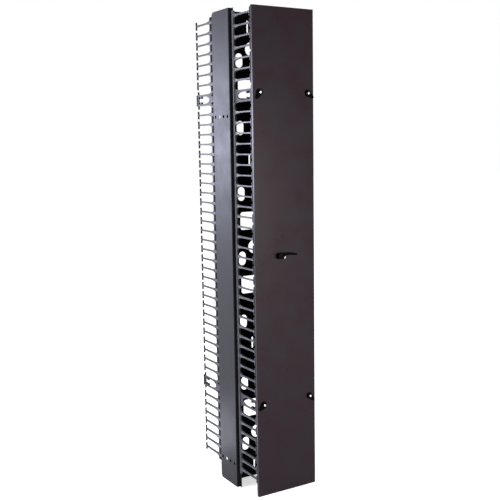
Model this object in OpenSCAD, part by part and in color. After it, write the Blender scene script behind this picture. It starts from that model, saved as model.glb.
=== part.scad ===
// Double-sided vertical cable manager for a 45U rack: two bent side channels joined by a
// mid panel with pass-through ports, four columns of moulded cable fingers, hinge brackets
// at front and rear, and a pan door held on vertical pins by four quarter-turn latches.
// Frame: +Z up, -Y towards the door. The origin is on the floor, at the middle of the
// mid panel. All sizes are in millimetres.

/* [Frame] */
// Overall height of the side channels
frame_h = 2121; // [2050:1:2300]
// Overall width over the two side channels
frame_w = 330; // [300:1:420]
// Depth of the side channels, flange to flange
frame_d = 152; // [130:1:200]
// Thickness of the frame's sheet steel
frame_t = 2; // [1.5:0.1:3]
// Width of the inward flange of a side channel, to the outer face of its lip
flange_w = 16; // [14:0.5:24]
// Length of the front lip, from the flange to the finger roots
front_lip = 12; // [10:0.5:20]
// Length of the rear lip, from the flange to the finger roots
rear_lip = 46; // [20:0.5:60]
// Inside radius of the bends in the frame
bend_r = 2; // [1:0.5:3]
// Clipped corners at the rear of a side channel
corner_clip = 14; // [4:1:24]

/* [Side bolt holes] */
// Radius of the bolt holes in the side channels
side_hole_r = 7.1; // [4:0.1:9]
// Distance between the bolt holes of a row
side_hole_pitch = 36; // [28:1:38]
// Height of the lower row of bolt holes
side_hole_low_z = 106; // [60:1:180]
// Height of the upper row of bolt holes
side_hole_high_z = 1672; // [1500:1:1850]

/* [Mid panel] */
// Depth of the mid panel's side flanges
panel_flange = 24; // [16:1:40]
// Height of the lowest side port
port_z = 166; // [140:1:200]
// Vertical pitch of the ports
port_pitch = 291.5; // [270:0.5:300]
// Distance of the side ports from the middle
side_port_x = 73; // [70:1:90]
// Width of a side port
side_port_w = 36; // [24:1:40]
// Height of a side port
side_port_h = 62; // [40:1:70]
// Width of a large port
large_port_w = 160; // [120:1:200]
// Height of a large port
large_port_h = 80; // [50:1:90]
// Corner radius of a large port
large_port_r = 12; // [4:1:20]
// Drop of a large port below the side ports of its level
large_port_drop = 122; // [110:1:140]
// Width of a centre port
centre_port_w = 82; // [62:1:90]
// Height of a centre port
centre_port_h = 60; // [40:1:62]
// Rise of a centre port above the side ports of its level
centre_port_rise = 50; // [40:1:60]
// Width of a tie slot
tie_slot_w = 8; // [5:0.5:12]
// Height of a tie slot
tie_slot_h = 52; // [30:1:60]
// Distance of the tie slots from the middle
tie_slot_x = 28; // [20:1:40]

/* [Fingers] */
// Height of the lowest finger
finger_z = 86.9; // [70:0.1:120]
// Distance from one finger to the next, one rack unit
finger_pitch = 44.45; // [40:0.05:48]
// Reach of a finger, from its root line to the outer face of its head
finger_len = 136; // [110:1:160]
// Height of a finger along its straight part
finger_h = 6.5; // [5:0.1:9]
// Thickness of the moulded web
web_t = 3; // [2:0.1:4]
// Depth of the base strip behind the root line
comb_base = 11; // [9:0.5:12]
// Length of the flare at a finger's root
flare_len = 46; // [30:1:60]
// Extra half-height that the flare gives a finger at its root
flare_rise = 6.5; // [3:0.1:8]
// Fillet radius between a finger and the root line
root_fillet = 5; // [2:0.5:7]
// Thickness of the rim round each opening
rim_t = 2; // [1:0.1:2.4]
// Width of the rim, across the web
rim_w = 9; // [6:0.5:12]
// Height of a finger's T-head
head_h = 35; // [24:0.5:38]
// Width of a finger's T-head
head_w = 8.5; // [6:0.5:12]
// Thickness of a finger's T-head
head_t = 3; // [2:0.1:4]
// Gap between two neighbouring comb modules
module_gap = 1; // [0.4:0.1:3]

/* [Door brackets] */
// Thickness of a door bracket
bracket_t = 4; // [3:0.1:5]
// Half-height of the opening in a door bracket
bracket_open = 16.5; // [12:0.5:18]
// Distance from the bracket's tip to its screws
bracket_screw_back = 34; // [26:0.5:40]
// Half-distance between the bracket's screws
bracket_screw_z = 13; // [11:0.5:14]

/* [Hinge blocks and pins] */
// Radius of a hinge pin
pin_r = 2.5; // [2:0.05:3]
// Radial clearance round a hinge pin
pin_clear = 0.05; // [0.02:0.01:0.1]
// Half-height of a hinge block
block_half = 24; // [22:0.5:26]
// Thickness of a hinge block's ears
ear_t = 3.5; // [2.5:0.1:4.5]
// Half-width of a hinge block's ears
ear_half = 3.8; // [3.6:0.1:4]
// Thickness of a hinge block's base plate
block_back = 3.5; // [3:0.1:4]
// Distance from the door's side to a pin's axis
pin_inset = 8; // [7.8:0.1:8.4]
// Distance from the finger heads to the pin's axis
pin_reach = 14.5; // [13.5:0.1:15.5]

/* [Door] */
// Width of the door
door_w = 302; // [300:0.5:304]
// Height of the door
door_h = 2097; // [2000:1:2110]
// Height of the door's lower edge
door_z = 13; // [5:1:40]
// Depth of the door pan
door_d = 14; // [13:0.5:15]
// Thickness of the door's sheet steel
door_t = 1.2; // [0.8:0.1:1.5]
// Distance from the door's front face to the pin's axis
door_pin_depth = 7.5; // [7:0.1:8]
// Half-height of the notches in the door's right-hand return
notch_half = 26; // [25.5:0.5:36]
// Width of a hinge saddle
saddle_w = 9.4; // [8.4:0.1:9.6]
// Half-height of a hinge saddle
saddle_half = 17; // [12:0.5:19]

/* [Latches] */
// Distance from the door's side to a latch's axis
latch_inset = 31; // [29:0.5:33]
// Height of a latch above the middle of its bracket
latch_rise = 9; // [0:0.5:10]
// Radius of a latch shaft
shaft_r = 5; // [4:0.1:6]
// Radius of a thumb-turn's hub
knob_r = 13; // [11:0.1:14]
// Thickness of a thumb-turn's hub
knob_t = 8; // [5:0.1:12]
// Length of a thumb-turn's tail, from its axis
tail_len = 32; // [26:0.5:36]
// Thickness of a latch cam
cam_t = 2; // [1.5:0.1:2.4]
// Width of a latch cam
cam_w = 11; // [8:0.5:13]

/* [Handle] */
// Sideways place of the handle's spindle
handle_x = -29; // [-40:1:0]
// Height of the handle's spindle
handle_z = 1075.5; // [900:0.5:1200]
// Length of the handle's base plate
base_w = 46; // [44:1:54]
// Height of the handle's base plate
base_h = 26; // [25:1:32]
// Thickness of the handle's base plate
base_t = 5; // [3:0.5:6]
// Reach of the lever, from the spindle to its tip
lever_len = 80; // [66:1:90]
// Height of the lever's arm
lever_h = 10; // [8:0.5:11]
// Height of the arm's middle above the spindle
lever_rise = 7; // [5.5:0.5:8]

/* [Hidden] */
COMB_NAMES = [for (e = ["front", "rear"]) for (s = ["left", "right"]) for (k = [1:6])
    str("finger_comb_", e, "_", s, "_", k)];
BRACKET_NAMES = [for (e = ["front", "rear"]) for (s = ["left", "right"]) for (l = ["upper", "lower"])
    str("door_bracket_", e, "_", s, "_", l)];
BLOCK_NAMES = [for (e = ["front", "rear"]) for (s = ["left", "right"]) str("hinge_blocks_", e, "_", s)];
KNOB_NAMES = [for (l = ["upper", "lower"]) for (s = ["left", "right"]) str("thumb_turn_", l, "_", s)];
CAM_NAMES = [for (l = ["upper", "lower"]) for (s = ["left", "right"]) str("latch_cam_", l, "_", s)];
$fn = 48;

// Steps of a flare and of a fillet on the fingers
flare_steps = 4;
fillet_steps = 3;
// Finger numbers, from the floor up, at which comb modules start, and fingers per module
module_fingers = 7;
module_starts = [0, 9, 16, 23, 30, 39];
// Finger numbers at which the lower and the upper brackets start
bracket_starts = [7, 37];
// Levels of the port grid that have a large port and a centre port
large_levels = [1, 3, 4, 6];
centre_levels = [0, 3, 6];
side_levels = [0:6];
// Heights of the tie slots
tie_slot_zs = [59, 645, 1484, 2061];
// Comb screws: shank radius, head radius, head height, hole clearance
screw_r = 2;
screw_head_r = 3.4;
screw_head_t = 2.2;
screw_clear = 0.1;
// Tangs that join a hinge block to its bracket
tang_t = 3;
tang_h = 9;
// Wall of a bushing
bush_t = 2.5;
// Small gap between faces of pieces that move past each other
run_gap = 0.3;
// Gap on each side of a latch cam, between the pin and the hinge block
cam_gap = 0.7;
// Reach of a hinge block's body inwards and outwards from the pin's axis
block_in = 5.8;
block_out = 4;
// Slack that carries a cut past the faces it opens
cut = 1;

half_w = frame_w / 2;
half_d = frame_d / 2;
// Outer face of the lips, where the combs sit on the inner side
lip_x = half_w - flange_w;
comb_x = lip_x - frame_t;
root_front = -half_d - front_lip;
root_rear = half_d + rear_lip;
head_front = root_front - finger_len;
pin_y = head_front - pin_reach;
door_front = pin_y - door_pin_depth;
door_back = door_front + door_d;
pin_x = door_w / 2 - pin_inset;
latch_x = door_w / 2 - latch_inset;
cam_y = pin_y + pin_r + cam_gap;
cam_reach = pin_x + 2 - latch_x;
// Depth of a hinge block's body, which stops short of the latch cam
block_body = pin_reach - pin_r - 2 * cam_gap - cam_t;

function flip(s) = s == "left" ? -1 : 1;
function finger_height(j) = finger_z + j * finger_pitch;
function bracket_z(j) = finger_height(j) + finger_pitch / 2;
function level_z(l) = bracket_z(bracket_starts[l == "upper" ? 1 : 0]);

// Half-height of a finger at distance d from the root, without its fillet: an arc that
// leaves the straight part as a tangent.
flare_r = (flare_len * flare_len + flare_rise * flare_rise) / (2 * flare_rise);
function half_finger(d) = finger_h / 2
    + (d < flare_len ? flare_r - sqrt(flare_r * flare_r - pow(flare_len - d, 2)) : 0);
// One edge of a finger as [distance, half-height], from the root line to the head
function finger_edge() = concat(
    [for (i = [0:fillet_steps]) let (a = 90 * i / fillet_steps, d = rim_t + root_fillet * (1 - cos(a)))
        [d, half_finger(d) + root_fillet * (1 - sin(a))]],
    [for (i = [1:flare_steps]) let (d = rim_t + root_fillet
        + (flare_len - rim_t - root_fillet) * i / flare_steps) [d, half_finger(d)]],
    [[finger_len - head_t / 2, finger_h / 2]]);
function reversed(list) = [for (i = [len(list) - 1:-1:0]) list[i]];
// Lower edge out and upper edge back of the finger whose middle is at height z
function finger_outline(z) = concat([for (p = finger_edge()) [p[0], z - p[1]]],
    [for (p = reversed(finger_edge())) [p[0], z + p[1]]]);
// The same edge moved into the finger by the rim's thickness
function rim_inner() = concat([[0, finger_edge()[0][1] - rim_t]],
    [for (p = finger_edge()) if (p[0] > rim_t + root_fillet / 2) [p[0], p[1] - rim_t]]);

// Corner-rounded rectangle as a list of points
function rounded(w, h, r, n = 5) = [for (c = [[1, 1, 0], [-1, 1, 90], [-1, -1, 180], [1, -1, 270]])
    for (i = [0:n]) let (a = c[2] + 90 * i / n)
        [c[0] * (w / 2 - r) + r * cos(a), c[1] * (h / 2 - r) + r * sin(a)]];

// Sheet-metal section: a folded centre line given a thickness, with round bends
function unit(v) = v / norm(v);
function turn(pts, i) = let (a = unit(pts[i] - pts[i - 1]), b = unit(pts[i + 1] - pts[i]))
    a[0] * b[1] - a[1] * b[0];
function offset_point(pts, i, o) = let (
    n = len(pts),
    a = i == 0 ? unit(pts[1] - pts[0]) : unit(pts[i] - pts[i - 1]),
    b = i == n - 1 ? a : unit(pts[i + 1] - pts[i]),
    na = [-a[1], a[0]],
    nb = [-b[1], b[0]],
    k = 1 + na * nb) pts[i] + o * (na + nb) / k;
function rounded_corner(p, a, b, r, n = 4) = let (
    s = sign(a[0] * b[1] - a[1] * b[0]),
    c = p - a * r + s * r * [-a[1], a[0]])
    [for (i = [0:n]) let (t = s * 90 * i / n, v = -s * r * [-a[1], a[0]])
        c + [v[0] * cos(t) - v[1] * sin(t), v[0] * sin(t) + v[1] * cos(t)]];
function sheet_side(pts, o, r) = let (n = len(pts)) concat([offset_point(pts, 0, o)],
    [for (i = [1:n - 2]) each rounded_corner(offset_point(pts, i, o), unit(pts[i] - pts[i - 1]),
        unit(pts[i + 1] - pts[i]), r - sign(turn(pts, i)) * o)],
    [offset_point(pts, n - 1, o)]);
function sheet_section(pts, t, r) = concat(sheet_side(pts, t / 2, r + t / 2),
    reversed(sheet_side(pts, -t / 2, r + t / 2)));

// Turns an outline drawn as [distance, height] into a plate of thickness t that stands
// in the plane across X from x, with the distance running along +Y.
module plate(outline, t, x = 0) {
    translate([x, 0, 0]) rotate([90, 0, 90]) linear_extrude(t) polygon(outline);
}

// Cylinder along X from x = 0
module across(r, l) {
    rotate([0, 90, 0]) cylinder(r = r, h = l);
}

// Cylinder along Y from y = 0
module along(r, l) {
    rotate([-90, 0, 0]) cylinder(r = r, h = l);
}

// Puts a comb or bracket, drawn with its root line at y = 0 and its fingers towards +Y,
// into one of the four columns. The same moulding serves all four: it is only turned.
module column(e, s, thick = web_t) {
    y = e == "front" ? root_front : root_rear;
    same = (e == "front") == (s == "right");
    // Web between comb_x - thick and comb_x on the right, mirrored on the left by turning
    if (e == "front") {
        translate([s == "right" ? comb_x - thick : -comb_x, y, 0])
            translate([thick, 0, 0]) rotate([0, 0, 180]) children();
    } else {
        translate([s == "right" ? comb_x - thick : -comb_x, y, 0]) children();
    }
}

/* ---------- frame ---------- */

// Screw places on a comb module, as [distance from the root line, height in the module]
function comb_screw_zs() = [finger_pitch * 1, finger_pitch * 5];
comb_screw_d = -comb_base / 2;

module lip_holes(s) {
    for (e = ["front", "rear"]) {
        y = e == "front" ? root_front - comb_screw_d : root_rear + comb_screw_d;
        for (m = module_starts) for (z = comb_screw_zs())
            translate([flip(s) * lip_x - frame_t - cut, y, finger_height(m) + z])
                across(screw_r + screw_clear, 2 * frame_t + 2 * cut);
        for (b = bracket_starts) for (z = [0, finger_pitch])
            translate([flip(s) * lip_x - frame_t - cut, y, finger_height(b) + z])
                across(screw_r + screw_clear, 2 * frame_t + 2 * cut);
    }
}

module side_channel(s) {
    m = frame_t / 2;
    section = [[lip_x - m, root_front], [lip_x - m, -half_d + m], [half_w - m, -half_d + m],
        [half_w - m, half_d - m], [lip_x - m, half_d - m], [lip_x - m, root_rear]];
    mirror([s == "left" ? 1 : 0, 0, 0]) difference() {
        linear_extrude(frame_h) polygon(sheet_section(section, frame_t, bend_r));
        // Clipped corners at the rear edge
        for (z = [0, frame_h]) translate([0, half_d, z]) rotate([45, 0, 0])
            cube([3 * half_w, corner_clip * sqrt(2), corner_clip * sqrt(2)], center = true);
        // The rear lip stops where the lowest and the highest comb end
        for (z = [[-cut, finger_height(0) - finger_pitch / 2],
                [finger_height(45) + finger_pitch / 2, frame_h + cut]])
            translate([0, half_d + frame_t, z[0]]) cube([half_w, rear_lip + cut, z[1] - z[0]]);
        for (z = [side_hole_low_z, side_hole_high_z]) for (i = [-1.5:1:1.5])
            translate([half_w - frame_t - cut, i * side_hole_pitch, z])
                across(side_hole_r, frame_t + 2 * cut);
        lip_holes("right");
    }
}

module oval(w, h) {
    r = min(w, h) / 2;
    translate([0, 0, -cut]) linear_extrude(frame_t + 2 * cut) union() {
        square([w > h ? w - 2 * r : w, w > h ? h : h - 2 * r], center = true);
        for (d = [-1, 1]) translate(w > h ? [d * (w / 2 - r), 0] : [0, d * (h / 2 - r)]) circle(r);
    }
}

module port(x, z) {
    translate([x, frame_t / 2, z]) rotate([90, 0, 0]) children();
}

module mid_panel() {
    x = half_w - frame_t - frame_t / 2;
    section = [[-x, -panel_flange + frame_t / 2], [-x, 0], [x, 0], [x, -panel_flange + frame_t / 2]];
    color("#232327") difference() {
        linear_extrude(frame_h) polygon(sheet_section(section, frame_t, bend_r));
        for (l = side_levels) for (d = [-1, 1])
            port(d * side_port_x, port_z + l * port_pitch) oval(side_port_w, side_port_h);
        for (l = large_levels) port(0, port_z + l * port_pitch - large_port_drop)
            translate([0, 0, -cut]) linear_extrude(frame_t + 2 * cut)
                polygon(rounded(large_port_w, large_port_h, large_port_r));
        for (l = centre_levels) port(0, port_z + l * port_pitch + centre_port_rise)
            oval(centre_port_w, centre_port_h);
        for (z = tie_slot_zs) for (d = [-1, 1]) port(d * tie_slot_x, z) oval(tie_slot_w, tie_slot_h);
        // Access to the side channels' bolt holes past the panel's flanges
        for (z = [side_hole_low_z, side_hole_high_z])
            translate([-half_w, -panel_flange - cut, z - side_hole_r - 5])
                cube([frame_w, panel_flange - bend_r - frame_t + cut, 2 * side_hole_r + 10]);
    }
}

/* ---------- fingers ---------- */

module comb() {
    z0 = -finger_pitch / 2 + module_gap / 2;
    z1 = (module_fingers - 0.5) * finger_pitch - module_gap / 2;
    ks = [0:module_fingers - 1];
    edge = finger_edge();
    inner = rim_inner();
    rim_x = (web_t - rim_w) / 2;
    difference() {
        union() {
            plate(concat([[-comb_base, z0], [rim_t, z0]],
                [for (k = ks) each finger_outline(k * finger_pitch)],
                [[rim_t, z1], [-comb_base, z1]]), web_t);
            // Rims round the six openings between the fingers
            for (k = [0:module_fingers - 2]) {
                za = k * finger_pitch;
                zb = za + finger_pitch;
                plate(concat([for (p = reversed(edge)) [p[0], za + p[1]]],
                    [for (p = edge) [p[0], zb - p[1]]],
                    [for (p = reversed(inner)) [p[0], zb - p[1]]],
                    [for (p = inner) [p[0], za + p[1]]]), rim_w, rim_x);
            }
            // Half rims at the two ends of the module
            for (m = [0, 1]) {
                zk = m == 0 ? 0 : (module_fingers - 1) * finger_pitch;
                f = m == 0 ? -1 : 1;
                ze = zk + f * (finger_pitch / 2 - module_gap - 1);
                plate(concat([for (p = reversed(edge)) [p[0], zk + f * p[1]]], [[rim_t, ze], [0, ze]],
                    [for (p = inner) [p[0], zk + f * p[1]]]), rim_w, rim_x);
            }
            for (k = ks) translate([web_t / 2, finger_len - head_t, k * finger_pitch])
                rotate([-90, 0, 0]) linear_extrude(head_t) polygon(rounded(head_w, head_h, 2.5, 2));
        }
        for (z = comb_screw_zs()) translate([-cut, comb_screw_d, z])
            across(screw_r + screw_clear, web_t + 2 * cut);
    }
}

module finger_comb(e, s, k) {
    color("#2b2b30") column(e, s) translate([0, 0, finger_height(module_starts[k - 1])]) comb();
}

// Pan-head screws through the combs' and brackets' base strips into the lips
module comb_screws() {
    color("#55565a") for (e = ["front", "rear"]) for (d = [0, 1]) mirror([d, 0, 0]) {
        y = e == "front" ? root_front - comb_screw_d : root_rear + comb_screw_d;
        for (m = module_starts) for (z = comb_screw_zs()) base_screw(y, finger_height(m) + z, web_t);
        for (b = bracket_starts) for (z = [0, finger_pitch])
            base_screw(y, finger_height(b) + z, bracket_t);
    }
}

module base_screw(y, z, t) {
    translate([comb_x - t - screw_head_t, y, z]) across(screw_head_r, screw_head_t);
    translate([comb_x - t, y, z]) across(screw_r, t + frame_t);
}

/* ---------- door brackets and hinge blocks ---------- */

// Bracket drawn with its lower arm at z = 0, like a pair of fingers joined root and tip
module bracket() {
    edge = finger_edge();
    mid = finger_pitch / 2;
    z0 = -finger_pitch / 2 + module_gap / 2;
    z1 = 1.5 * finger_pitch - module_gap / 2;
    open_root = flare_len / 2;
    open_tip = finger_len - 9;
    difference() {
        union() {
            plate(concat([[-comb_base, z0], [rim_t, z0]], [for (p = edge) [p[0], -p[1]]],
                [for (p = reversed(edge)) [p[0], finger_pitch + p[1]]],
                [[rim_t, z1], [-comb_base, z1]]), bracket_t);
            // Tip flange, one-sided, as tall as two heads with their gap
            translate([bracket_t - head_w / 2, finger_len - head_t, mid]) rotate([-90, 0, 0])
                linear_extrude(head_t) polygon(rounded(head_w, finger_pitch + head_h, 2.5, 2));
        }
        // Window, with two bosses left standing in it for the hinge block's screws
        difference() {
            translate([-cut, open_root, mid]) plate(bracket_window(open_tip - open_root),
                bracket_t + 2 * cut);
            for (d = [-1, 1]) translate([-2 * cut, finger_len - bracket_screw_back,
                mid + d * bracket_screw_z]) across(6, bracket_t + 4 * cut);
        }
        for (d = [-1, 1]) translate([0, finger_len, mid + d * bracket_screw_z]) {
            translate([-cut, -bracket_screw_back, 0]) across(screw_r + screw_clear, bracket_t + 2 * cut);
            // The hinge block's tang passes the tip flange here
            translate([-head_w, -head_t - cut, -tang_h / 2 - run_gap])
                cube([head_w, head_t + 2 * cut, tang_h + 2 * run_gap]);
        }
        for (z = [0, finger_pitch]) translate([-cut, comb_screw_d, z])
            across(screw_r + screw_clear, bracket_t + 2 * cut);
    }
}

// Window of a bracket: a long half ellipse at the root, small fillets at the tip
function bracket_window(l) = concat(
    [for (i = [0:10]) let (a = 90 + 180 * i / 10) [44 + 44 * cos(a), bracket_open * sin(a)]],
    [for (i = [0:3]) let (a = -90 + 90 * i / 3) [l - 5 + 5 * cos(a), -bracket_open + 5 + 5 * sin(a)]],
    [for (i = [0:3]) let (a = 90 * i / 3) [l - 5 + 5 * cos(a), bracket_open - 5 + 5 * sin(a)]]);

module door_bracket(e, s, l) {
    j = bracket_starts[l == "upper" ? 1 : 0];
    color("#2b2b30") place_bracket(e, s) translate([0, 0, finger_height(j)]) bracket();
}

// Brackets are handed, so that the plate's outer face always meets the lip
module place_bracket(e, s) {
    mirror([s == "left" ? 1 : 0, 0, 0]) mirror([0, e == "front" ? 1 : 0, 0])
        translate([comb_x - bracket_t, e == "front" ? -root_front : root_rear, 0]) children();
}

// Hinge block drawn on a right-hand column with its outward end towards +Y, z from its middle
module hinge_block() {
    y = finger_len;
    difference() {
        union() {
            // Base plate, against the bracket's tip flange
            xs = [min(comb_x - bracket_t - tang_t, pin_x - block_in), max(comb_x + 2, pin_x + block_out)];
            translate([xs[0], y, -block_half]) cube([xs[1] - xs[0], block_back, 2 * block_half]);
            // Body, as deep as the latch cam allows
            translate([pin_x - block_in, y, -block_half])
                cube([block_in + block_out, block_body, 2 * block_half]);
            // Two tangs along the inner face of the bracket, to its screws
            for (d = [-1, 1]) translate([comb_x - bracket_t - tang_t, y - bracket_screw_back - 6,
                d * bracket_screw_z - tang_h / 2])
                cube([tang_t, bracket_screw_back + 6 + block_back, tang_h]);
            // Two ears that hold the pin
            for (d = [0, 1]) mirror([0, 0, d]) translate([0, 0, block_half - ear_t]) {
                translate([pin_x - ear_half, y, 0]) cube([2 * ear_half, pin_reach, ear_t]);
                translate([pin_x, y + pin_reach, 0]) cylinder(r = ear_half, h = ear_t);
            }
        }
        translate([pin_x, y + pin_reach, -block_half - cut])
            cylinder(r = pin_r + pin_clear, h = 2 * block_half + 2 * cut);
        for (d = [-1, 1]) translate([comb_x - bracket_t - tang_t - cut, y - bracket_screw_back,
            d * bracket_screw_z]) across(screw_r + screw_clear, tang_t + 2 * cut);
    }
}

module place_hinge(e, s) {
    mirror([s == "left" ? 1 : 0, 0, 0]) mirror([0, e == "front" ? 1 : 0, 0])
        translate([0, e == "front" ? -root_front : root_rear, 0])
            for (b = bracket_starts) translate([0, 0, bracket_z(b)]) children();
}

module hinge_blocks(e, s) {
    color("#18181b") place_hinge(e, s) hinge_block();
}

module hinge_pins(e) {
    color("#b9bcc0") for (s = ["left", "right"]) place_hinge(e, s)
        translate([pin_x, finger_len + pin_reach, -block_half]) cylinder(r = pin_r, h = 2 * block_half);
}

// Screws through the brackets into the hinge blocks' tangs
module bracket_screws() {
    color("#55565a") for (e = ["front", "rear"]) for (s = ["left", "right"]) place_hinge(e, s)
        for (d = [-1, 1]) translate([comb_x, finger_len - bracket_screw_back, d * bracket_screw_z]) {
            across(4.5, 2.5);
            translate([-bracket_t - tang_t, 0, 0]) across(screw_r, bracket_t + tang_t);
        }
}

/* ---------- door ---------- */

module door_pan() {
    m = door_t / 2;
    x = door_w / 2 - m;
    section = [[-x, door_back], [-x, door_front + m], [x, door_front + m], [x, door_back]];
    color("#2e2b2e") difference() {
        union() {
            translate([0, 0, door_z]) linear_extrude(door_h) polygon(sheet_section(section, door_t, 1));
            for (z = [door_z, door_z + door_h - door_t])
                translate([-x, door_front + m, z]) cube([2 * x, door_d - m, door_t]);
        }
        // Notches in the right-hand return, which clears the hinge blocks as the door swings
        for (l = ["upper", "lower"])
            translate([door_w / 2, door_front + door_t + 0.3 + 10, level_z(l)])
                cube([2 * (door_t + cut), 20, 2 * notch_half], center = true);
        for (s = ["left", "right"]) for (l = ["upper", "lower"]) latch_place(s, l)
            translate([0, -cut, 0]) along(shaft_r + bush_t + 0.02, door_t + 2 * cut);
        translate([handle_x, door_front - cut, handle_z]) along(shaft_r + bush_t + 0.02, door_t + 2 * cut);
    }
}

// Origin on the door's front face at a latch's axis
module latch_place(s, l) {
    translate([flip(s) * latch_x, door_front, level_z(l) + latch_rise]) children();
}

// Saddles on the back of the door skin, open to the rear, that sit on the hinge pins
module hinge_saddles() {
    w = saddle_w;
    back = pin_y + pin_r - 0.2;
    color("#b9bcc0") for (s = ["left", "right"]) for (l = ["upper", "lower"])
        translate([flip(s) * pin_x, 0, level_z(l)]) difference() {
            translate([-w / 2, door_front + door_t, -saddle_half])
                cube([w, back - door_front - door_t, 2 * saddle_half]);
            translate([0, pin_y, -saddle_half - cut])
                cylinder(r = pin_r + pin_clear, h = 2 * saddle_half + 2 * cut);
            translate([-pin_r - pin_clear, pin_y, -saddle_half - cut])
                cube([2 * (pin_r + pin_clear), 10, 2 * saddle_half + 2 * cut]);
        }
}

// Flanged bushes that carry the latch shafts in the door skin
module latch_bushings() {
    color("#18181b") for (s = ["left", "right"]) for (l = ["upper", "lower"]) latch_place(s, l)
        difference() {
            union() {
                translate([0, -1.5, 0]) along(knob_r + 1.5, 1.5);
                along(shaft_r + bush_t, 6);
            }
            translate([0, -1.5 - cut, 0]) along(shaft_r + pin_clear, 7.5 + 2 * cut);
        }
}

// Hexagonal nuts that clamp the bushings of the latches and of the handle to the door skin
module bushing_nuts() {
    color("#b9bcc0") {
        for (s = ["left", "right"]) for (l = ["upper", "lower"]) latch_place(s, l) bushing_nut();
        handle_place() bushing_nut();
    }
}

module bushing_nut() {
    r = shaft_r + bush_t + 2.5;
    translate([0, door_t + 3, 0]) rotate([90, 0, 0]) linear_extrude(3) difference() {
        polygon([for (i = [0:5]) r / cos(30) * [cos(60 * i), sin(60 * i)]]);
        circle(shaft_r + bush_t + 0.02);
    }
}

// Thumb-turn: round hub with a tapered tail, the shaft's bright end in the hub's middle, and
// the peened end behind the cam. Drawn with its tail along +X.
module knob() {
    y = -1.5 - run_gap;
    translate([0, y, 0]) rotate([90, 0, 0]) rotate_extrude() polygon([[0, 0], [knob_r, 0],
        [knob_r, knob_t - 3], [knob_r - 1.2, knob_t - 0.8], [knob_r - 3.5, knob_t],
        [shaft_r, knob_t], [shaft_r, knob_t + 1], [shaft_r - 1, knob_t + 2], [0, knob_t + 2]]);
    translate([0, y, 0]) rotate([90, 0, 0]) linear_extrude(knob_t - 1)
        polygon([[2, knob_r - 0.5], [tail_len - 6, 5.5], [tail_len - 1.5, 4.2], [tail_len, 1.5],
            [tail_len, -1.5], [tail_len - 1.5, -4.2], [tail_len - 6, -5.5], [2, -knob_r + 0.5]]);
    translate([0, y, 0]) along(shaft_r, cam_y - door_front - y);
    translate([0, cam_y - door_front, 0]) along(3, cam_t);
    translate([0, cam_y - door_front + cam_t, 0]) along(4.5, 1);
}

// The tail points down and outwards at rest. On the left the cam is open (turned down), on
// the right it is closed behind the pin (turned outwards).
module thumb_turn(l, s) {
    turned = s == "right" ? (l == "upper" ? 36 : 48) : (l == "upper" ? 120 : 138);
    color("#101012") latch_place(s, l) rotate([0, turned, 0]) knob();
}

module latch_cam(l, s) {
    color("#b9bcc0") latch_place(s, l) rotate([0, s == "right" ? 0 : 90, 0])
        translate([0, cam_y - door_front, 0]) difference() {
            union() {
                along(cam_w / 2 + 1.5, cam_t);
                translate([0, 0, -cam_w / 2]) cube([cam_reach, cam_t, cam_w]);
            }
            translate([0, -cut, 0]) along(3 + 0.02, cam_t + 2 * cut);
        }
}

/* ---------- handle ---------- */

module handle_place() {
    translate([handle_x, door_front, handle_z]) children();
}

module handle_base() {
    color("#141416") handle_place() difference() {
        union() {
            translate([base_w / 2 - 18.5, 0, 0]) rotate([90, 0, 0]) linear_extrude(base_t)
                polygon(rounded(base_w, base_h, 8));
            // Lock plug beside the lever's boss
            translate([base_w - 25, -base_t - 2.5, -7]) along(4.5, 3);
            along(shaft_r + bush_t, 6);
        }
        translate([0, -base_t - cut, 0]) along(shaft_r + pin_clear, base_t + 6 + 2 * cut);
    }
}

// Lever: a boss over the spindle and a slim arm that springs from the boss's upper edge,
// stands off the base and droops a little at its tip.
function lever_outline() = concat(
    [for (i = [0:8]) let (a = 90 + 180 * i / 8) [-6 + 11.5 * cos(a), 11.5 * sin(a)]],
    [for (i = [0:4]) let (a = 270 + 70 * i / 4) [4 + 11.5 * cos(a), 11.5 * sin(a)]],
    [[20, lever_rise - lever_h / 2], [lever_len * 0.58, lever_rise - lever_h / 2]],
    [for (i = [0:6]) let (a = 270 + 180 * i / 6)
        [lever_len - 4 + 4 * cos(a), lever_rise - 3.5 + 4 * sin(a)]],
    [[lever_len * 0.58, lever_rise + lever_h / 2], [20, lever_rise + lever_h / 2]]);
function boss_outline() = concat(
    [for (i = [0:8]) let (a = 90 + 180 * i / 8) [-6 + 11.5 * cos(a), 11.5 * sin(a)]],
    [for (i = [0:8]) let (a = 270 + 180 * i / 8) [4 + 11.5 * cos(a), 11.5 * sin(a)]]);
module handle_lever() {
    y = -base_t - run_gap;
    color("#101012") handle_place() {
        translate([0, y, 0]) rotate([90, 0, 0]) linear_extrude(12) polygon(boss_outline());
        translate([0, y - 4, 0]) rotate([90, 0, 0]) linear_extrude(7) polygon(lever_outline());
        translate([0, y, 0]) along(shaft_r, 9 - y);
        translate([0, 9, 0]) along(3, cam_t);
        translate([0, 9 + cam_t, 0]) along(4.5, 1);
    }
}

// Cam on the inner end of the lever's spindle
module handle_cam() {
    color("#b9bcc0") handle_place() translate([0, 9, 0]) difference() {
        union() {
            along(cam_w / 2 + 2, cam_t);
            translate([-34, 0, -cam_w / 2]) cube([34, cam_t, cam_w]);
        }
        translate([0, -cut, 0]) along(3 + 0.02, cam_t + 2 * cut);
    }
}

/* ---------- nodes ---------- */

module frame_steel() {
    color("#3c4048") children();
}

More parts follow.
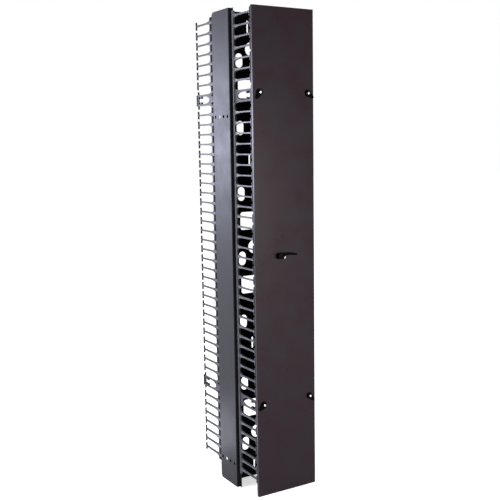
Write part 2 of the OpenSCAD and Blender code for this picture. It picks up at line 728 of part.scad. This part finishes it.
frame_steel() side_channel("left");  // side_channel_left
frame_steel() side_channel("right");  // side_channel_right
mid_panel();
comb_screws();
bracket_screws();
hinge_pins("front");  // hinge_pins_front
hinge_pins("rear");  // hinge_pins_rear
door_pan();
hinge_saddles();
latch_bushings();
bushing_nuts();
handle_base();
handle_lever();
handle_cam();
for (e = ["front", "rear"]) for (s = ["left", "right"]) {
    for (k = [1:6]) finger_comb(e, s, k);
    for (l = ["upper", "lower"])
        door_bracket(e, s, l);
    hinge_blocks(e, s);
}
for (l = ["upper", "lower"]) for (s = ["left", "right"]) {
    thumb_turn(l, s);
    latch_cam(l, s);
}
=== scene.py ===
"""Looks of the double-sided vertical cable manager: powder-coated side channels and mid
panel, four columns of moulded cable fingers, hinge brackets, and a pan door with four
quarter-turn latches and a lever handle. Shapes are worked out in millimetres and go into
the meshes in metres, with Z up and the door towards -Y."""
import math

import bmesh
import bpy
import numpy as np
from mathutils import Matrix


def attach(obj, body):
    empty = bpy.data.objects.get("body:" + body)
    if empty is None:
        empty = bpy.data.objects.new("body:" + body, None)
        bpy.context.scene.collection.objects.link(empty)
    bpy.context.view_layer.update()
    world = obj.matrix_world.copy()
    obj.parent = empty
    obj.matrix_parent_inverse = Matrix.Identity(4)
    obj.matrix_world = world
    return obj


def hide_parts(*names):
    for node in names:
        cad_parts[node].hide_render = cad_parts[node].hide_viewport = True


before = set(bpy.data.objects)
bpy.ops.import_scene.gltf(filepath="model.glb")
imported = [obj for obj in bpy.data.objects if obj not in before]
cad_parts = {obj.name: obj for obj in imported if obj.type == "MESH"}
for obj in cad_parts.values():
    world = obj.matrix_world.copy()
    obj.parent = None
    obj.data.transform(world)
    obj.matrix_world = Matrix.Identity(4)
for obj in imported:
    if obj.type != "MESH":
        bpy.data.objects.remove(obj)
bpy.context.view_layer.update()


# ---------------------------------------------------------------------------
# Side channels. Two folded sheets of 2 mm steel, full height, with a flange and a
# lip at each edge. Sprayed with black polyester powder and stoved, which leaves a
# fine orange peel that spreads every highlight into a soft grey.
# ---------------------------------------------------------------------------
def linear(colour):
    """Linear values, with an alpha of 1, of an sRGB colour written as #rrggbb."""
    parts = [int(colour[i:i + 2], 16) / 255 for i in (1, 3, 5)]
    return [c / 12.92 if c <= 0.04045 else ((c + 0.055) / 1.055) ** 2.4 for c in parts] + [1.0]


def add(tree, kind, settings=None, **links):
    """Adds a node. settings sets its properties and sockets by name, and each link is
    socket=(node, output), where an underscore is a space and _0 is socket number 0."""
    made = tree.nodes.new("ShaderNode" + kind)
    for name, value in (settings or {}).items():
        if name in made.inputs:
            made.inputs[name].default_value = value
        else:
            setattr(made, name, value)
    for name, (node, output) in links.items():
        number = name[1:]
        socket = int(number) if number.isdigit() else name.replace("_", " ")
        tree.links.new(node.outputs[output], made.inputs[socket])
    return made


def coated(name, base, tint, rough, peel_mm, peel, specular):
    """A smooth paint or plastic skin: base and tint are the two ends of its faint cloudy
    change of colour, peel_mm the size of its orange peel or mould grain, peel its height
    in mm, and rough the middle of its roughness, which wanders a little with the cloud."""
    material = bpy.data.materials.new(name)
    material.use_nodes = True
    tree = material.node_tree
    skin = tree.nodes["Principled BSDF"]
    place = add(tree, "TexCoord")
    # Nine clouds to a metre, about 110 mm each
    cloud = add(tree, "TexNoise", {"Scale": 9.0, "Detail": 3.0, "Roughness": 0.55}, Vector=(place, "Object"))
    shade = add(tree, "ValToRGB", Fac=(cloud, "Fac"))
    for stop, position, colour in zip(shade.color_ramp.elements, (0.35, 0.65), (base, tint)):
        stop.position = position
        stop.color = linear(colour)
    tree.links.new(shade.outputs["Color"], skin.inputs["Base Color"])
    grain = add(tree, "TexNoise", {"Scale": 1000.0 / peel_mm, "Detail": 2.0, "Roughness": 0.5},
                Vector=(place, "Object"))
    bump = add(tree, "Bump", {"Strength": 1.0, "Distance": peel / 1000.0}, Height=(grain, "Fac"))
    tree.links.new(bump.outputs["Normal"], skin.inputs["Normal"])
    dull = add(tree, "MapRange", {"From Min": 0.3, "From Max": 0.7, "To Min": rough - 0.05,
                                  "To Max": rough + 0.05}, Value=(cloud, "Fac"))
    tree.links.new(dull.outputs["Result"], skin.inputs["Roughness"])
    skin.inputs["Specular IOR Level"].default_value = specular
    return material


def finish_cad(material, *names):
    """Gives CAD nodes their material."""
    for name in names:
        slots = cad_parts[name].data.materials
        slots.clear()
        slots.append(material)


# Polyester powder on steel. Orange peel is about 1 mm across in life and drawn at 4 mm.
# It gives the flat wall a soft, faintly clouded grey that fades down its height
frame_powder = coated("black powder coat on channels", "#121216", "#17171c", 0.42, 4.0, 0.05, 0.12)
powder_tree = frame_powder.node_tree
powder_skin = powder_tree.nodes["Principled BSDF"]
wall_colour = powder_skin.inputs["Base Color"].links[0].from_node
wall_dullness = powder_skin.inputs["Roughness"].links[0].from_node
# Behind the rear edge, 77 mm from the middle, the lips are drawn darker and duller than the wall
depth = add(powder_tree, "SeparateXYZ", Vector=(powder_tree.nodes["Texture Coordinate"], "Object"))
inside = add(powder_tree, "MapRange", {"From Min": 0.0765, "From Max": 0.0785}, Value=(depth, "Y"))
darker_rear_lips = add(powder_tree, "Mix", {"data_type": "RGBA"}, _0=(inside, "Result"), _6=(wall_colour, "Color"))
darker_rear_lips.inputs[7].default_value = linear("#060607")
powder_tree.links.new(darker_rear_lips.outputs[2], powder_skin.inputs["Base Color"])
flat = add(powder_tree, "MapRange", {"To Max": 0.9}, Value=(inside, "Result"))
duller = add(powder_tree, "Math", {"operation": "MAXIMUM"}, _0=(wall_dullness, "Result"), _1=(flat, "Result"))
powder_tree.links.new(duller.outputs["Value"], powder_skin.inputs["Roughness"])
finish_cad(frame_powder, "side_channel_left", "side_channel_right")

# ---------------------------------------------------------------------------
# Mid panel. One folded sheet welded between the channels, laser cut with ports for
# cables to pass from front to rear, and sprayed with the channels in the same powder.
# ---------------------------------------------------------------------------
# The same powder drawn near black and almost without sheen, so that the openings stay dark: painted shade for
# the shade deep inside the channels
mid_panel_painted_shade = coated("mid panel powder with painted shade", "#030304", "#050506", 0.55, 4.0, 0.05, 0.03)
finish_cad(mid_panel_painted_shade, "mid_panel")


# ---------------------------------------------------------------------------
# Finger combs. Injection moulded in black ABS and PC, seven fingers to a module, fixed
# inside the channel's lips with two screws. A rim 9 mm wide runs round every opening,
# so that cables bend over a smooth edge, and each finger ends in a T-head.
# ---------------------------------------------------------------------------
def shell(loops):
    """Vertices, side faces and two caps of a closed skin over loops, an array (stations,
    points, 3): a cross-section carried along a path and joined to itself all round."""
    stations, points = loops.shape[:2]
    grid = np.arange(stations * points).reshape(stations, points)
    near, far = grid[:-1], grid[1:]
    quads = np.stack([near, np.roll(near, -1, 1), np.roll(far, -1, 1), far], -1).reshape(-1, 4)
    return loops.reshape(-1, 3), quads, [grid[0][::-1].tolist(), grid[-1].tolist()]


def build(name, shells, material, body, replaced=()):
    """Joins shells into one piece with smooth faces, sharp only past 40 degrees, its
    normals outward, and puts it on a body in place of CAD nodes."""
    points, faces, start = [], [], 0
    for corners, quads, caps in shells:
        points.append(corners)
        faces += (quads + start).tolist() + [[i + start for i in cap] for cap in caps]
        start += len(corners)
    mesh = bpy.data.meshes.new(name)
    mesh.from_pydata(np.concatenate(points), [], faces)
    mesh.update()
    work = bmesh.new()
    work.from_mesh(mesh)
    bmesh.ops.recalc_face_normals(work, faces=work.faces)
    work.to_mesh(mesh)
    work.free()
    mesh.shade_smooth()
    mesh.set_sharp_from_angle(angle=math.radians(40))
    mesh.materials.append(material)
    piece = bpy.data.objects.new(name, mesh)
    bpy.context.scene.collection.objects.link(piece)
    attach(piece, body)
    if replaced:
        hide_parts(*replaced)


def round_rect(w, h, r, n):
    """Points (a, b) round a rectangle w by h with corner radius r, n + 1 to a corner."""
    a = np.radians(np.concatenate([np.linspace(q, q + 90, n + 1) for q in (0, 90, 180, 270)]))
    cx = np.repeat([1, -1, -1, 1], n + 1) * (w / 2 - r)
    cy = np.repeat([1, 1, -1, -1], n + 1) * (h / 2 - r)
    return np.stack([cx + r * np.cos(a), cy + r * np.sin(a)], -1)


def bar(w, h, r, along, n=3):
    """A straight bar with a rounded cross-section w by h, drawn from along[0] to along[1]
    on the third axis, its ends turned in by r so that no edge is sharp."""
    steps = np.radians([0, 30, 60, 90])
    inset = np.concatenate([r * (1 - np.sin(steps)), r * (1 - np.sin(steps[::-1]))])
    reach = np.concatenate([along[0] + r * (1 - np.cos(steps)), along[1] - r * (1 - np.cos(steps[::-1]))])
    loops = []
    for i, s in zip(inset, reach):
        ring = round_rect(w - 2 * i, h - 2 * i, max(r - i, r * 0.1), n)
        loops.append(np.column_stack([ring, np.full(len(ring), s)]))
    return np.array(loops)


ENDS, SIDES = ("front", "rear"), ("left", "right")
# One finger to a rack unit, the height of the lowest, and the first finger of each module
PITCH, FINGER_Z = 44.45, 86.9
FINGERS, MODULES = 7, (0, 9, 16, 23, 30, 39)
# A finger's reach from its root line, the length of its flare and how far that spreads
REACH, FLARE, RISE = 136.0, 46.0, 6.5
FLARE_R = (FLARE ** 2 + RISE ** 2) / (2 * RISE)
# Height of its straight part, fillet at its root, rim thickness and width, and web thickness
STRAIGHT, FILLET, RIM_T, RIM_W, WEB = 6.5, 5.0, 2.0, 9.0, 3.0
# Its T-head, the base strip behind the root line, and the play at each end of a module
HEAD_H, HEAD_W, HEAD_T, BASE, PLAY = 35.0, 8.5, 3.0, 11.0, 0.5
# Where the outer face of a comb and its root line stand in the frame
COMB_X, ROOT = 147.0, {"front": -88.0, "rear": 122.0}


def half_height(d):
    """Half a finger's height at distance d from its root: straight, then an arc that
    leaves the straight part as a tangent and spreads towards the root."""
    near = np.clip(FLARE - d, 0, None)
    return STRAIGHT / 2 + FLARE_R - np.sqrt(FLARE_R ** 2 - near ** 2)


def rim_path():
    """One edge of a finger from its head to the root line, as (distance, height): the
    flare, then a quarter circle of the fillet added to it."""
    straight = np.array([REACH - 1.5, 100.0, 75.0, 55.0])
    flare = np.linspace(FLARE, RIM_T + FILLET, 9)
    a = np.radians(np.linspace(75, 0, 6))
    d = np.concatenate([straight, flare, RIM_T + FILLET * (1 - np.cos(a))])
    widening = np.concatenate([np.zeros(len(straight) + len(flare)), FILLET * (1 - np.sin(a))])
    return np.stack([d, half_height(d) + widening], -1)


def ribbon(path, inward):
    """A rim: a strip RIM_W wide and RIM_T thick with rolled edges, carried along a path
    of (distance, height) points, all of its thickness on the inward side."""
    way = np.gradient(path, axis=0)
    way /= np.linalg.norm(way, axis=1)[:, None]
    normal = np.stack([-way[:, 1], way[:, 0]], -1) * inward
    middle = path + normal * RIM_T / 2
    ring = round_rect(RIM_W, RIM_T, RIM_T * 0.48, 3)
    across = np.broadcast_to(ring[:, 0], (len(path), len(ring)))
    section = middle[:, None, :] + normal[:, None, :] * ring[None, :, 1, None]
    return np.stack([across + WEB / 2, section[..., 0], section[..., 1]], -1)


def blade(ds, thick, tall, z):
    """A four-sided bar about the height z: at each distance in ds it is twice thick
    across and twice tall high."""
    corner = np.array([[1, 1], [-1, 1], [-1, -1], [1, -1]])
    across = WEB / 2 + corner[None, :, 0] * np.broadcast_to(thick, ds.shape)[:, None]
    return np.stack([across, np.broadcast_to(ds[:, None], across.shape),
                     z + corner[None, :, 1] * tall[:, None]], -1)


def comb_shells():
    """One module at height 0 with its root line at y = 0 and its fingers along +Y: rims,
    finger webs, T-heads with their gussets, and the base strip."""
    low, high = -PITCH / 2 + PLAY, (FINGERS - 0.5) * PITCH - PLAY
    edge, made = rim_path(), []
    for k in range(FINGERS - 1):
        up = edge + [0, k * PITCH]
        down = (edge * [1, -1] + [0, (k + 1) * PITCH])[::-1]
        made.append(shell(ribbon(np.concatenate([up, down]), 1)))
    for k, way, stop in ((0, -1, low + 0.4), (FINGERS - 1, 1, high - 0.4)):
        side = edge * [1, way] + [0, k * PITCH]
        made.append(shell(ribbon(np.concatenate([side, [[RIM_T, stop]]]), way)))
    # The web is 2.3 mm thicker on each side at its root, and thins from 22 mm to 52 mm out
    ds = np.concatenate([np.linspace(-1, FLARE, 9), [56, 80, REACH - 1]])
    thick = WEB / 2 + 2.3 * (1 - np.clip((ds - 22) / 30, 0, 1) ** 1.5)
    tall = half_height(np.clip(ds, 0, None)) - 0.8
    # Gusset that carries the T-head: a quarter circle of 10.5 mm on each side of the finger
    a = np.radians(np.linspace(0, 84, 6))
    rise = REACH - HEAD_T - 10 + 10.5 * np.sin(a)
    spread = STRAIGHT / 2 - 0.5 + 10.5 * (1 - np.cos(a))
    head = bar(HEAD_W, HEAD_H, 1.2, (REACH - HEAD_T, REACH), 4)
    for k in range(FINGERS):
        made.append(shell(blade(ds, thick, tall, k * PITCH)))
        made.append(shell(np.stack([head[..., 0] + WEB / 2, head[..., 2], head[..., 1] + k * PITCH], -1)))
        made.append(shell(blade(rise, 2.4, spread, k * PITCH)))
    base = bar(WEB, BASE + 1.0, 0.7, (low, high))
    made.append(shell(np.stack([base[..., 0] + WEB / 2, base[..., 1] + (1.0 - BASE) / 2, base[..., 2]], -1)))
    return made


# Thickness of the lip and of a lug on it. A bead's width and how far it stands proud, a
# lug's reach and height, and the play at a bead's ends
LIP_T, LUG_T, BEAD_PLAY = 2.0, 1.1, 0.6
BEAD = {"front": (11.2, 2.4), "rear": (6.0, 1.2)}
LUG = {"front": (11.5, 10.0), "rear": (22.0, 14.0)}


def lip_face(end, side):
    """The face of a moulding that lies on the lip, as its x and the way out of it."""
    x = WEB if (end == "rear") == (side == "right") else 0.0
    return x, 1.0 if x else -1.0


def bead(end, side, low, high):
    """Bead on the outer face of the lip, next to the root line: half an ellipse carried
    straight up from low to high. At the front it covers the lip."""
    (x, out), (wide, proud) = lip_face(end, side), BEAD[end]
    a = np.radians(np.linspace(0, 180, 13))
    ring = np.stack([x + out * (LIP_T + np.sin(a) * proud), wide / 2 * (np.cos(a) - 1)], -1)
    return shell(np.stack([np.column_stack([ring, np.full(len(ring), z)]) for z in (low, high)]))


def tongue(end, side, reach, tall, z):
    """Hooked lug on the lip's outer face: a flat bar with rounded edges, tall in mm, from
    the root rim back towards the channel."""
    x, out = lip_face(end, side)
    lug = bar(LUG_T, tall, 0.45, (-reach, 1.0))
    return shell(np.stack([x + out * (LIP_T + LUG_T / 2) + lug[..., 0], lug[..., 2], lug[..., 1] + z], -1))


def lugs(end, side):
    """Lugs and bead by which a module grips the lip, one lug at each finger."""
    low, high = -PITCH / 2 + BEAD_PLAY, (FINGERS - 0.5) * PITCH - BEAD_PLAY
    return [tongue(end, side, *LUG[end], k * PITCH) for k in range(FINGERS)] + [bead(end, side, low, high)]


def in_column(shells, end, side, first):
    """Puts shells drawn with their root line at y = 0 into a column, from its finger place
    number first, in metres: half a turn for the front, none for the rear, as mouldings of
    one form make up all four columns."""
    foot = COMB_X - WEB if side == "right" else -COMB_X
    placed = []
    for points, quads, caps in shells:
        x, y, z = (points + np.array([0, 0, FINGER_Z + first * PITCH])).T
        if end == "front":
            x, y = WEB - x, -y
        placed.append((np.stack([x + foot, y + ROOT[end], z], -1) / 1000.0, quads, caps))
    return placed


# Black ABS blend from a fine-grained mould: satin, with a mould grain drawn at 2.5 mm,
# which shows as a dark grey that catches the light along every rolled rim
moulded = coated("black moulded ABS", "#424246", "#4c4c50", 0.4, 2.5, 0.03, 0.35)
# The rear combs take a darker copy of the same plastic, with a flatter sheen
matt_moulded = coated("black moulded ABS with a matt grain", "#3a3a3d", "#434346", 0.46, 2.5, 0.03, 0.17)
one_comb = comb_shells()
for end in ENDS:
    for side in SIDES:
        plastic = moulded if end == "front" else matt_moulded
        for number, first in enumerate(MODULES, 1):
            name = f"comb_{end}_{side}_{number}"
            placed = in_column(one_comb + lugs(end, side), end, side, first)
            build(name, placed, plastic, "frame", ["finger_" + name])


# ---------------------------------------------------------------------------
# Door brackets. Each takes the place of two fingers and carries a hinge block. Moulded
# like the combs, with a window and a tip flange as tall as two T-heads. The mould leaves
# every edge with a small radius.
# ---------------------------------------------------------------------------
def softened(name, cad, material, body, radius):
    """A copy of one CAD node with its edges rounded: the loose triangles are merged,
    flat neighbours are joined, and each edge past 35 degrees gets a radius in mm, which
    has to be small enough for the piece's shortest edges, as nothing holds it back."""
    work = bmesh.new()
    work.from_mesh(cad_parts[cad].data)
    bmesh.ops.remove_doubles(work, verts=work.verts, dist=1e-6)
    bmesh.ops.dissolve_limit(work, angle_limit=math.radians(0.5), verts=work.verts, edges=work.edges)
    mesh = bpy.data.meshes.new(name)
    work.to_mesh(mesh)
    work.free()
    mesh.materials.clear()
    mesh.materials.append(material)
    mesh.shade_smooth()
    mesh.set_sharp_from_angle(angle=math.radians(60))
    piece = bpy.data.objects.new(name, mesh)
    bpy.context.scene.collection.objects.link(piece)
    edges = piece.modifiers.new("edge radius", "BEVEL")
    edges.width = radius / 1000.0
    edges.segments = 2
    edges.limit_method = "ANGLE"
    edges.angle_limit = math.radians(35)
    edges.harden_normals = True
    edges.use_clamp_overlap = False
    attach(piece, body)
    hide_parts(cad)


# The lower finger place of each bracket, and the thickness of its foot
BRACKETS, BRACKET_T = (7, 37), 4.0
# Glass-filled nylon, stiffer than the combs' plastic: duller, with a faint mottle on its face
nylon = coated("black glass-filled nylon", "#363439", "#403d43", 0.47, 2.0, 0.03, 0.11)
for end in ENDS:
    for side in SIDES:
        for level in ("upper", "lower"):
            name = f"bracket_{end}_{side}_{level}"
            softened(name, "door_" + name, nylon, "frame", 0.6)

# What the brackets have on the lip's outer face: the front ones a length of the bead, and
# the rear ones three lugs, of which the middle one is the tallest
for side in SIDES:
    grip = [bead("front", side, -PITCH / 2 + BEAD_PLAY, 1.5 * PITCH - BEAD_PLAY)]
    placed = [s for first in BRACKETS for s in in_column(grip, "front", side, first)]
    build(f"bracket_grips_front_{side}", placed, moulded, "frame")
reach = LUG["rear"][0]
for side in SIDES:
    grip = [tongue("rear", side, reach, tall, PITCH / 2 + z) for tall, z in ((12, -32), (28, 0), (12, 32))]
    placed = [s for first in BRACKETS for s in in_column(grip, "rear", side, first)]
    build(f"bracket_grips_rear_{side}", placed, nylon, "frame")

# ---------------------------------------------------------------------------
# Screws. Black zinc-plated pan-head screws with a cross recess: two through each comb's
# base strip and each bracket's foot into the lip, and two through each bracket's tip into
# its hinge block.
# ---------------------------------------------------------------------------
# Black-passivated zinc plate on steel: dark, with a small soft glint on each head
black_zinc = coated("black zinc plate", "#1c1c1e", "#252528", 0.38, 0.8, 0.01, 0.15)


def pan_head(r, h):
    """Head of a screw whose axis is X, its top towards -X at x = -h: a dome whose height
    falls off with the fourth power of the radius, lowered by a cross-shaped recess."""
    a = np.radians(np.arange(0, 360, 15.0))
    share = np.array([0.02, 0.14, 0.15, 0.5, 0.52, 0.8, 0.95, 1.0, 1.0])
    standing = np.array([1, 1, 1, 1, 1, 1, 1, 1, 0.0])
    rr, aa = np.meshgrid(share, a, indexing="ij")
    top = h * (1 - 0.45 * rr ** 4) * standing[:, None]
    y, z = rr * r * np.cos(aa), rr * r * np.sin(aa)
    cross = (np.minimum(np.abs(y), np.abs(z)) < 0.13 * r) & (rr < 0.51)
    return np.stack([np.where(cross, 0.55 * h, 0.0) - top, y, z], -1)


def screw_heads(name, ys, zs, r, h, face):
    """Heads on the left and the right, at each of ys and zs, their flat sides on the plane
    |X| = face and their tops towards the middle where h is over 0, else outwards."""
    one = pan_head(r, abs(h)) * [1 if h > 0 else -1, 1, 1]
    places = [(sign, y, z) for sign in (-1, 1) for y in ys for z in zs]
    made = [shell((one + [face, y, z]) * [sign, 1, 1] / 1000.0) for sign, y, z in places]
    build(name, made, black_zinc, "frame")


finish_cad(black_zinc, "comb_screws", "bracket_screws")
# Screws through a base strip stand on its middle line, and those at a bracket's tip stand
# 34 mm back from the finger heads, 13 mm above and below the bracket's middle
base_ys = (ROOT["front"] + BASE / 2, ROOT["rear"] - BASE / 2)
tip_ys = (ROOT["front"] - REACH + 34, ROOT["rear"] + REACH - 34)
comb_zs = [FINGER_Z + (first + k) * PITCH for first in MODULES for k in (1, 5)]
foot_zs = [FINGER_Z + (first + k) * PITCH for first in BRACKETS for k in (0, 1)]
tip_zs = [FINGER_Z + (first + 0.5) * PITCH + d for first in BRACKETS for d in (-13, 13)]
screw_heads("comb_screw_heads", base_ys, comb_zs, 3.45, 2.3, COMB_X - WEB)
screw_heads("bracket_base_screw_heads", base_ys, foot_zs, 3.45, 2.3, COMB_X - BRACKET_T)
screw_heads("bracket_screw_heads", tip_ys, tip_zs, 4.55, -2.6, COMB_X)

# ---------------------------------------------------------------------------
# Hinge blocks and pins. Black die-cast blocks, tumbled so that their edges are round,
# hold zinc-plated pins between two ears: bright at the front, blackened at the rear.
# ---------------------------------------------------------------------------
# Zinc die casting, tumbled and blackened: nearly matt, so that the block reads as a dark form
die_cast = coated("black die-cast zinc", "#0c0c0e", "#101012", 0.4, 1.5, 0.02, 0.04)
for end in ENDS:
    for side in SIDES:
        softened(f"hinges_{end}_{side}", f"hinge_blocks_{end}_{side}", die_cast, "frame", 0.3)

# Clear-passivated zinc plate: bright metal, clouded by patches of spangle about 6 mm across
zinc = bpy.data.materials.new("bright zinc plate")
zinc.use_nodes = True
zinc_tree = zinc.node_tree
zinc_skin = zinc_tree.nodes["Principled BSDF"]
zinc_skin.inputs["Metallic"].default_value = 1.0
place = add(zinc_tree, "TexCoord")
spangle = add(zinc_tree, "TexNoise", {"Scale": 1000.0 / 6.25, "Detail": 4.0, "Roughness": 0.6},
              Vector=(place, "Object"))
shade = add(zinc_tree, "ValToRGB", Fac=(spangle, "Fac"))
shade.color_ramp.elements[0].color = linear("#9c9fa3")
shade.color_ramp.elements[1].color = linear("#c3c5c8")
zinc_tree.links.new(shade.outputs["Color"], zinc_skin.inputs["Base Color"])
dull = add(zinc_tree, "MapRange", {"To Min": 0.24, "To Max": 0.4}, Value=(spangle, "Fac"))
zinc_tree.links.new(dull.outputs["Result"], zinc_skin.inputs["Roughness"])
finish_cad(zinc, "hinge_pins_front", "bushing_nuts")
# No door hangs on the rear pins, so they are blackened with their blocks
finish_cad(die_cast, "hinge_pins_rear")
softened("saddles", "hinge_saddles", zinc, "door", 0.3)

# ---------------------------------------------------------------------------
# Door. A flat pan of 1.2 mm steel, folded on all four sides, in the same black powder
# with a slightly warm tone.
# ---------------------------------------------------------------------------
# Polyester powder, smoother than on the frame: a slow sheen down the flat of the pan
door_powder = coated("black powder coat on door", "#201319", "#1b161b", 0.31, 4.0, 0.05, 0.12)
finish_cad(door_powder, "door_pan")

# ---------------------------------------------------------------------------
# Latches. Black enamelled die-cast thumb-turns with a tapered tail, in flanged bushes,
# each with a bright zinc button in the middle as a painted glint, and a zinc-plated steel cam.
# ---------------------------------------------------------------------------
# Stoved enamel on zinc: the blackest finish here, with a tight highlight on each edge
gloss = coated("black enamelled die casting", "#030303", "#050505", 0.28, 2.0, 0.01, 0.015)


def button(r, h, foot):
    """Low domed button about the Y axis, its top towards -Y at -h: a slightly crowned top
    and a quarter circle of 0.8 mm for an edge, then straight down to its foot."""
    t = np.radians(np.linspace(0, 90, 5))
    rs = np.concatenate([[0.02, r * 0.5], (r - 0.8) + 0.8 * np.sin(t[1:]), [r]])
    hs = np.concatenate([[h, h - 0.05], (h - 0.9) + 0.8 * np.cos(t[1:]), [foot]])
    a = np.radians(np.arange(0, 360, 15.0))
    rr, aa = np.meshgrid(rs, a, indexing="ij")
    return np.stack([rr * np.cos(aa), np.broadcast_to(-hs[:, None], rr.shape), rr * np.sin(aa)], -1)


# The door's face, and how far and how high on it the latches stand
DOOR_FACE, LATCH_X = -246.0, 120.0
for level, height in (("upper", 1762.8), ("lower", 429.3)):
    for side, sign in (("left", -1), ("right", 1)):
        body = f"latch_{level}_{side}"
        softened(f"thumb_{level}_{side}", f"thumb_turn_{level}_{side}", gloss, body, 0.8)
        softened(f"cam_{level}_{side}", f"latch_cam_{level}_{side}", zinc, body, 0.25)
        # A bright zinc button on the hub of each thumb-turn, standing in for a glint: a painted highlight
        glint_button = button(5.1, 11.9, 9.6) + [sign * LATCH_X, DOOR_FACE, height]
        build(f"glint_button_{level}_{side}", [shell(glint_button / 1000.0)], zinc, body)
softened("bushings", "latch_bushings", gloss, "door", 0.4)

# ---------------------------------------------------------------------------
# Lever handle. Die cast and enamelled like the thumb-turns, on an oblong base plate with
# the bright zinc plug of its lock beside the boss, which also stands in for a glint: a painted highlight.
# ---------------------------------------------------------------------------
softened("lever_plate", "handle_base", gloss, "door", 0.8)
softened("lever", "handle_lever", gloss, "handle", 0.3)
softened("lever_cam", "handle_cam", zinc, "handle", 0.25)
# The lock's bright plug, a painted highlight, is 21 mm to the right of the lever's spindle and 7 mm below it
HANDLE_X, HANDLE_Z = -29.0, 1075.5
painted_glint_plug = button(5.2, 7.6, 5.0) + [HANDLE_X + 21, DOOR_FACE, HANDLE_Z - 7]
build("painted_glint_lock_plug", [shell(painted_glint_plug / 1000.0)], zinc, "door")

# ---------------------------------------------------------------------------
# Studio: a pale floor that fades into a white surround. Two soft boxes to the left rake
# the side channel, a fill lights the door from the front, and a small card by the foot of
# the channel lifts its lower end. The cards themselves are hidden from the camera.
# ---------------------------------------------------------------------------
ground = bpy.data.meshes.new("floor")
ground.from_pydata([(-30, -30, 0), (30, -30, 0), (30, 30, 0), (-30, 30, 0)], [], [(0, 1, 2, 3)])
floor = bpy.data.objects.new("floor", ground)
bpy.context.scene.collection.objects.link(floor)
# Matt paper: near white, and it keeps the soft shadow of the frame
paper = bpy.data.materials.new("pale floor")
paper.use_nodes = True
paper_tree = paper.node_tree
paper_skin = paper_tree.nodes["Principled BSDF"]
paper_skin.inputs["Base Color"].default_value = linear("#f4f4f4")
paper_skin.inputs["Roughness"].default_value = 0.8
larger = {"operation": "MAXIMUM"}
ray = add(paper_tree, "LightPath")
shown = add(paper_tree, "Math", larger, _0=(ray, "Is Camera Ray"), _1=(ray, "Is Glossy Ray"))
glow = add(paper_tree, "MapRange", {"To Max": 0.62}, Value=(shown, "Value"))
paper_skin.inputs["Emission Color"].default_value = (1, 1, 1, 1)
paper_tree.links.new(glow.outputs["Result"], paper_skin.inputs["Emission Strength"])
ground.materials.append(paper)

world = bpy.data.worlds.new("white surround")
bpy.context.scene.world = world
world.use_nodes = True
world_tree = world.node_tree
surround = world_tree.nodes["Background"]
ray = add(world_tree, "LightPath")
shown = add(world_tree, "Math", larger, _0=(ray, "Is Camera Ray"), _1=(ray, "Is Glossy Ray"))
through = add(world_tree, "Math", larger, _0=(shown, "Value"), _1=(ray, "Is Transmission Ray"))
glow = add(world_tree, "MapRange", {"To Min": 0.45, "To Max": 1.0}, Value=(through, "Value"))
world_tree.links.new(glow.outputs["Result"], surround.inputs["Strength"])
surround.inputs["Color"].default_value = (1, 1, 1, 1)


def turned(right, up, back):
    """The rotation whose axes are these three directions."""
    return Matrix([list(row) for row in np.stack([right, up, back], -1)]).to_4x4()


def lamp(name, at, aim, size, power, tint):
    """A soft lamp at one point, turned to face another. Metres, watts and a faint tint."""
    light = bpy.data.lights.new(name, "AREA")
    light.color = linear(tint)[:3]
    light.shape = "RECTANGLE"
    light.size, light.size_y = size
    light.energy = power
    holder = bpy.data.objects.new(name, light)
    holder.visible_camera = False
    way = np.array(aim, float) - np.array(at, float)
    right = np.cross(way, (0, 0, 1))
    right /= np.linalg.norm(right)
    up = np.cross(right, way)
    up /= np.linalg.norm(up)
    holder.matrix_world = Matrix.Translation(at) @ turned(right, up, -way / np.linalg.norm(way))
    bpy.context.scene.collection.objects.link(holder)


lamp("left rear soft box", (-3.0, 5.2, 1.7), (-0.165, 0.0, 1.5), (3.2, 1.5), 330, "#e2e6ff")
lamp("left soft box", (-3.3, 0.3, 1.9), (-0.15, 0.0, 1.5), (1.4, 1.2), 110, "#f2f3ff")
lamp("front fill", (1.0, -4.4, 1.05), (0.0, -0.25, 1.05), (1.6, 1.3), 165, "#fff2f2")
lamp("low side card", (-0.38, 0.42, 0.03), (-0.3, 0.2, 0.6), (0.3, 0.5), 2.4, "#eceaff")

# Camera: a slightly long lens off the left front corner, above the middle, looking down
yaw, pitch, roll = (math.radians(a) for a in (30.91, 8.14, 0.89))
ahead = np.array([math.sin(yaw) * math.cos(pitch), math.cos(yaw) * math.cos(pitch), -math.sin(pitch)])
level_right = np.array([math.cos(yaw), -math.sin(yaw), 0.0])
level_down = np.cross(ahead, level_right)
right = math.cos(roll) * level_right + math.sin(roll) * level_down
down = -math.sin(roll) * level_right + math.cos(roll) * level_down
lens = bpy.data.cameras.new("camera")
lens.sensor_width = 36.0
lens.lens = 57.4488
lens.shift_x, lens.shift_y = -0.0109, 0.0196
lens.clip_end = 100.0
camera = bpy.data.objects.new("camera", lens)
camera.matrix_world = Matrix.Translation((-1.86085, -3.10146, 1.54515)) @ turned(right, -down, -ahead)
bpy.context.scene.collection.objects.link(camera)
bpy.context.scene.camera = camera
bpy.context.scene.view_settings.view_transform = "Standard"
